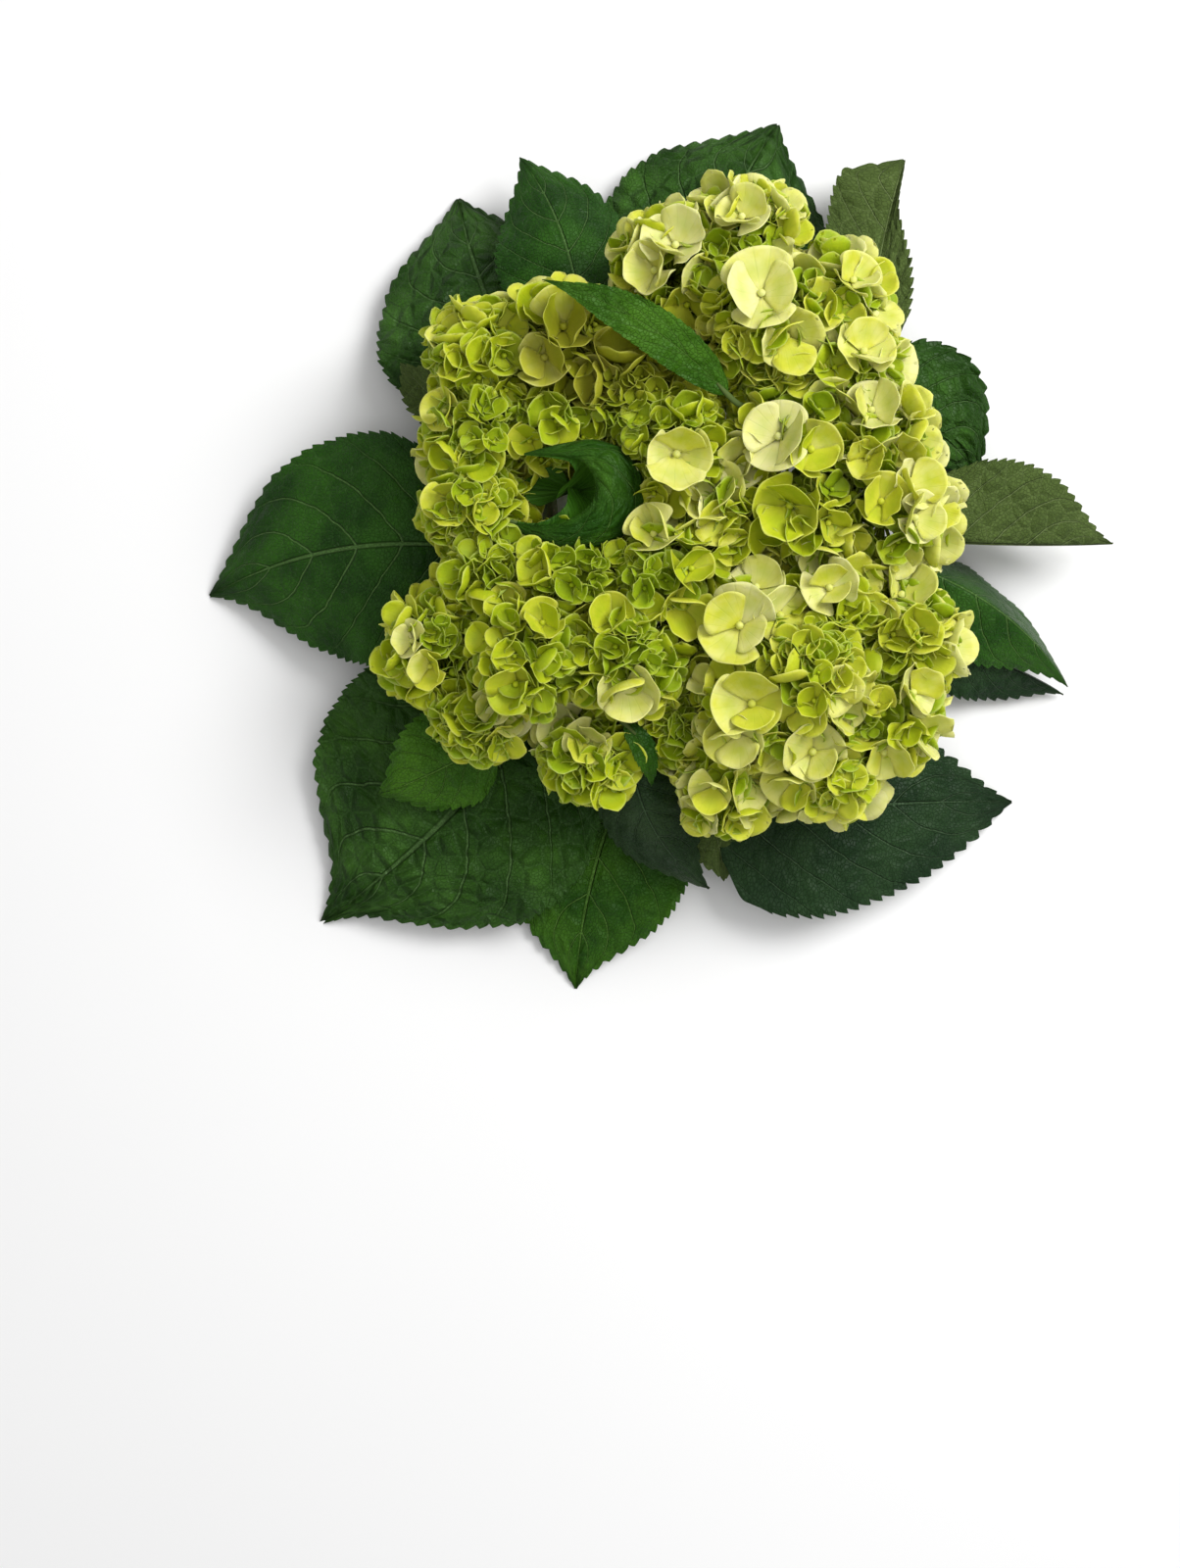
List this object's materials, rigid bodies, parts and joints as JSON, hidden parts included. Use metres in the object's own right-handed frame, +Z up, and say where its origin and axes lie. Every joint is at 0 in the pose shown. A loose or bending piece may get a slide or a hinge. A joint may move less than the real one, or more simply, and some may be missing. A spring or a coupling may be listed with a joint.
{
  "type": "cut hydrangea bunch",
  "caption": "Bunch of cut lime-green mophead hydrangeas lying down with the flower heads facing up and a ring of large serrated leaves round them.",
  "frame": {"origin": "middle of the bunch's outer box, on the surface it lies on", "axes": "+Z up out of the flower heads, +X to the right across the bunch, +Y from the cut stem ends towards the heads at the far side"},
  "size_m": [0.4108, 0.3977, 0.1184],
  "materials": {
    "green_florets": "matte",
    "dark_leaf": "satin",
    "bright_leaf": "satin",
    "leaf_underside": "matte",
    "woody_stem": "matte"
  },
  "bodies": {
    "root": {"bottom_folded_leaf": "dark_leaf", "bottom_leaf": "bright_leaf", "bottom_olive_leaf": "leaf_underside", "bottom_sliver_leaf": "bright_leaf", "crossing_leaf": "bright_leaf", "curled_leaf": "bright_leaf", "left_grey_leaf": "leaf_underside", "left_leaf": "dark_leaf", "lower_left_cluster_1": "green_florets", "lower_left_cluster_2": "green_florets", "lower_left_cluster_3": "green_florets", "lower_left_cluster_4": "green_florets", "lower_left_cluster_5": "green_florets", "lower_left_cluster_6": "green_florets", "lower_left_cluster_7": "green_florets", "lower_left_cluster_8": "green_florets", "lower_left_cluster_9": "green_florets", "lower_left_leaf": "dark_leaf", "lower_left_small_leaf": "bright_leaf", "lower_left_stem": "woody_stem", "lower_right_cluster_1": "green_florets", "lower_right_cluster_2": "green_florets", "lower_right_cluster_3": "green_florets", "lower_right_cluster_4": "green_florets", "lower_right_cluster_5": "green_florets", "lower_right_cluster_6": "green_florets", "lower_right_cluster_7": "green_florets", "lower_right_cluster_8": "green_florets", "lower_right_leaf": "dark_leaf", "lower_right_stem": "woody_stem", "right_cluster_1": "green_florets", "right_cluster_2": "green_florets", "right_cluster_3": "green_florets", "right_cluster_4": "green_florets", "right_cluster_5": "green_florets", "right_dark_leaf": "dark_leaf", "right_glossy_leaf": "bright_leaf", "right_round_leaf": "dark_leaf", "right_stem": "woody_stem", "right_turned_leaf": "leaf_underside", "top_leaf": "dark_leaf", "top_right_turned_leaf": "leaf_underside", "upper_left_cluster_1": "green_florets", "upper_left_cluster_2": "green_florets", "upper_left_cluster_3": "green_florets", "upper_left_cluster_4": "green_florets", "upper_left_cluster_5": "green_florets", "upper_left_cluster_6": "green_florets", "upper_left_cluster_7": "green_florets", "upper_left_inner_leaf": "dark_leaf", "upper_left_outer_leaf": "dark_leaf", "upper_left_stem": "woody_stem", "upper_right_cluster_1": "green_florets", "upper_right_cluster_2": "green_florets", "upper_right_cluster_3": "green_florets", "upper_right_cluster_4": "green_florets", "upper_right_cluster_5": "green_florets", "upper_right_cluster_6": "green_florets", "upper_right_stem": "woody_stem"}
  },
  "joints": []
}
